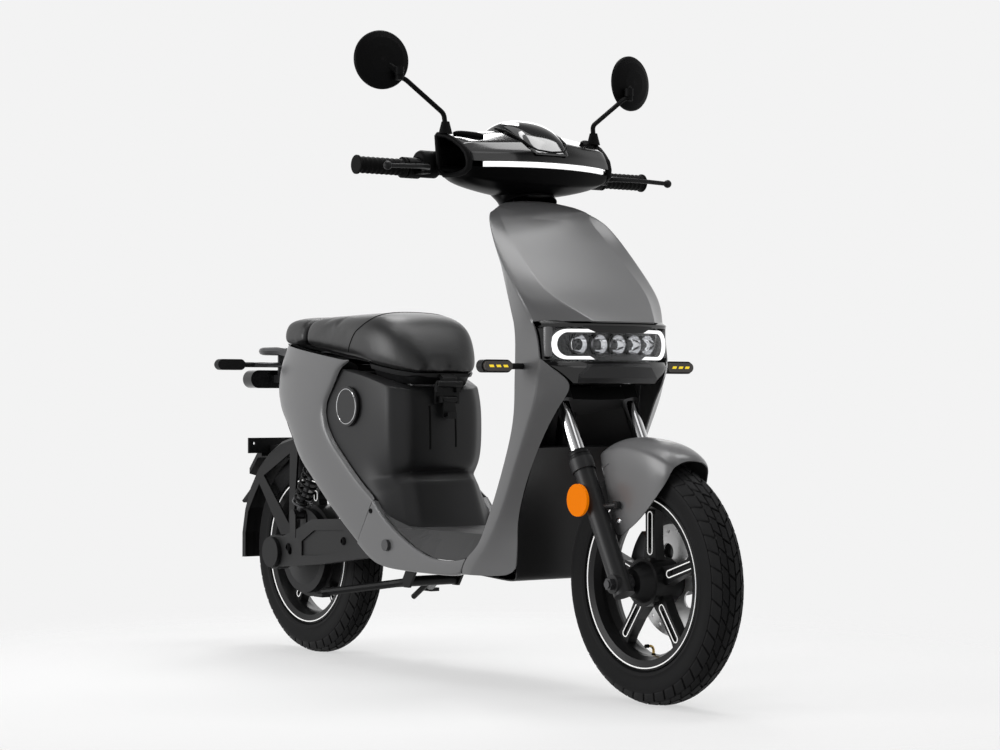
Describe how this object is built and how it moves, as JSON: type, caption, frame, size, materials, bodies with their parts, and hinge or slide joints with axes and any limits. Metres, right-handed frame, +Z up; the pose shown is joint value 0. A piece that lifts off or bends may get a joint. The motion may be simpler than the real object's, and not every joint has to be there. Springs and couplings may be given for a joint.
{
  "type": "moped scooter",
  "caption": "Electric step-through moped scooter: telescopic fork, swingarm with coil shocks, hub motor wheel, hinged seat over the battery box, levers, mirrors and centre stand.",
  "frame": {"origin": "on the ground, under the middle of the overall length, on the middle plane", "axes": "+X forward, +Y to the rider's left, +Z up"},
  "size_m": [1.7563, 0.7446, 1.305],
  "materials": {
    "grey_paint": "satin grey paint on moulded plastic",
    "black_plastic": "fine-grained black plastic",
    "gloss_black": "gloss black plastic",
    "frame_black": "satin black paint",
    "arm_grey": "dark grey satin coat",
    "rim_black": "black coat on cast alloy",
    "motor_black": "dark cast alloy",
    "bright_steel": "brushed",
    "dark_steel": "dark zinc",
    "chrome_tube": "polished",
    "grip_rubber": "moulded",
    "mat_rubber": "ribbed",
    "tyre_rubber": "block tread",
    "seat_vinyl": "fine grain",
    "clear_lens": "clear",
    "white_light": "milk white light guide",
    "amber_lens": "smoked amber",
    "red_lens": "ribbed red",
    "orange_reflector": "prismatic",
    "display_gloss": "silvered dark display",
    "red_button": "moulded",
    "battery_case": "moulded"
  },
  "bodies": {
    "frame": {"main_frame": "frame_black", "head_bearings": "bright_steel", "front_shield": "grey_paint", "wheel_well_panel": "black_plastic", "inner_leg_panel": "black_plastic", "floor_rails": "grey_paint", "footboard": "mat_rubber", "side_cover_right": "grey_paint", "side_cover_left": "grey_paint", "seat_box": "black_plastic", "side_caps": "gloss_black", "battery": "battery_case", "seat_hinge_bracket": "frame_black", "headlight_housing": "gloss_black", "headlight_lens": "clear_lens", "headlight_ring": "white_light", "indicator_bodies": "black_plastic", "indicator_lenses": "amber_lens", "rear_rack": "frame_black", "tail_light": "black_plastic", "tail_lens": "red_lens", "swingarm_bolt": "dark_steel"},
    "stand": {"centre_stand": "frame_black"},
    "seat": {"seat_base": "black_plastic", "seat_cushion": "seat_vinyl"},
    "hook": {"bag_hook": "black_plastic"},
    "steering": {"steering_stem": "frame_black", "stanchions": "chrome_tube", "handlebar": "frame_black", "bar_cover_upper": "gloss_black", "bar_cover_lower": "gloss_black", "dash_display": "display_gloss", "bar_light": "white_light", "switch_pods": "black_plastic", "left_grip": "grip_rubber", "mirror_stems": "frame_black"},
    "right_mirror": {"mirror_head_right": "black_plastic"},
    "left_mirror": {"mirror_head_left": "black_plastic"},
    "throttle": {"throttle_grip": "grip_rubber"},
    "right_lever": {"brake_lever_right": "rim_black"},
    "left_lever": {"brake_lever_left": "rim_black"},
    "start_switch": {"start_button": "red_button"},
    "horn_switch": {"horn_button": "amber_lens"},
    "fork_lower": {"fork_sliders": "rim_black", "front_fender": "grey_paint", "front_axle": "dark_steel", "front_caliper": "motor_black", "fork_reflectors": "orange_reflector"},
    "front_wheel": {"front_tyre": "tyre_rubber", "front_rim": "rim_black", "front_disc": "bright_steel"},
    "rear_arm": {"swingarm": "arm_grey", "rear_fender": "black_plastic", "rear_axle": "dark_steel"},
    "rear_wheel": {"rear_tyre": "tyre_rubber", "rear_rim": "rim_black", "hub_motor": "motor_black"},
    "shock_upper": {"shock_bodies": "dark_steel", "shock_springs": "dark_steel"},
    "shock_lower": {"shock_rods": "bright_steel"}
  },
  "joints": [
    {"name": "steering_turn", "type": "hinge", "parent": "frame", "child": "steering", "pos_m": [0.62091, 0, 0.21932], "axis": [-0.4695, 0, 0.8829], "range_deg": [-35, 35]},
    {"name": "fork_travel", "type": "slide", "parent": "steering", "child": "fork_lower", "axis": [-0.4695, 0, 0.8829], "range_m": [0, 0.055], "stiffness_N_per_m": 8000, "springref_m": -0.05},
    {"name": "front_wheel_spin", "type": "hinge", "parent": "fork_lower", "child": "front_wheel", "pos_m": [0.64475, 0, 0.232], "axis": [0, 1, 0], "continuous": true},
    {"name": "rear_arm_travel", "type": "hinge", "parent": "frame", "child": "rear_arm", "pos_m": [-0.04725, 0, 0.273], "axis": [0, 1, 0], "range_deg": [0, 7], "stiffness_Nm_per_rad": 2000, "springref_deg": -8.59},
    {"name": "rear_wheel_spin", "type": "hinge", "parent": "rear_arm", "child": "rear_wheel", "pos_m": [-0.55825, 0, 0.232], "axis": [0, 1, 0], "continuous": true},
    {"name": "shock_swing", "type": "hinge", "parent": "frame", "child": "shock_upper", "pos_m": [-0.33225, 0, 0.553], "axis": [0, 1, 0], "range_deg": [0, 5.2]},
    {"name": "shock_slide", "type": "slide", "parent": "shock_upper", "child": "shock_lower", "axis": [0.5284, 0, 0.849], "range_m": [0, 0.0485], "deforming": ["shock_springs"]},
    {"name": "throttle_twist", "type": "hinge", "parent": "steering", "child": "throttle", "pos_m": [0.163, -0.3, 1.03964], "axis": [0, -1, 0], "range_deg": [0, 75], "stiffness_Nm_per_rad": 0.5, "springref_deg": -5.73},
    {"name": "right_lever_pull", "type": "hinge", "parent": "steering", "child": "right_lever", "pos_m": [0.203, -0.224, 1.03964], "axis": [0, 0, -1], "range_deg": [0, 18], "stiffness_Nm_per_rad": 3, "springref_deg": -2.86},
    {"name": "left_lever_pull", "type": "hinge", "parent": "steering", "child": "left_lever", "pos_m": [0.203, 0.224, 1.03964], "axis": [0, 0, 1], "range_deg": [0, 18], "stiffness_Nm_per_rad": 3, "springref_deg": -2.86},
    {"name": "right_mirror_turn", "type": "hinge", "parent": "steering", "child": "right_mirror", "pos_m": [0.209, -0.29, 1.224], "axis": [0, 0, 1], "range_deg": [-20, 20]},
    {"name": "left_mirror_turn", "type": "hinge", "parent": "steering", "child": "left_mirror", "pos_m": [0.209, 0.29, 1.224], "axis": [0, 0, 1], "range_deg": [-20, 20]},
    {"name": "start_press", "type": "slide", "parent": "steering", "child": "start_switch", "axis": [1, 0, 0], "range_m": [0, 0.002], "stiffness_N_per_m": 500, "springref_m": -0.001},
    {"name": "horn_press", "type": "slide", "parent": "steering", "child": "horn_switch", "axis": [1, 0, 0], "range_m": [0, 0.002], "stiffness_N_per_m": 500, "springref_m": -0.001},
    {"name": "seat_lift", "type": "hinge", "parent": "frame", "child": "seat", "pos_m": [-0.03725, 0, 0.61], "axis": [0, 1, 0], "range_deg": [0, 75]},
    {"name": "hook_fold", "type": "hinge", "parent": "frame", "child": "hook", "pos_m": [-0.03825, 0, 0.577], "axis": [0, -1, 0], "range_deg": [0, 80]},
    {"name": "stand_swing", "type": "hinge", "parent": "frame", "child": "stand", "pos_m": [-0.10325, 0, 0.19], "axis": [0, -1, 0], "range_deg": [0, 86], "stiffness_Nm_per_rad": 4, "springref_deg": -57.3}
  ],
  "couplings": [
    {"joint": "shock_swing", "follows": "rear_arm_travel", "ratio": 0.71081},
    {"joint": "shock_slide", "follows": "rear_arm_travel", "m_per_rad": 0.39246}
  ]
}
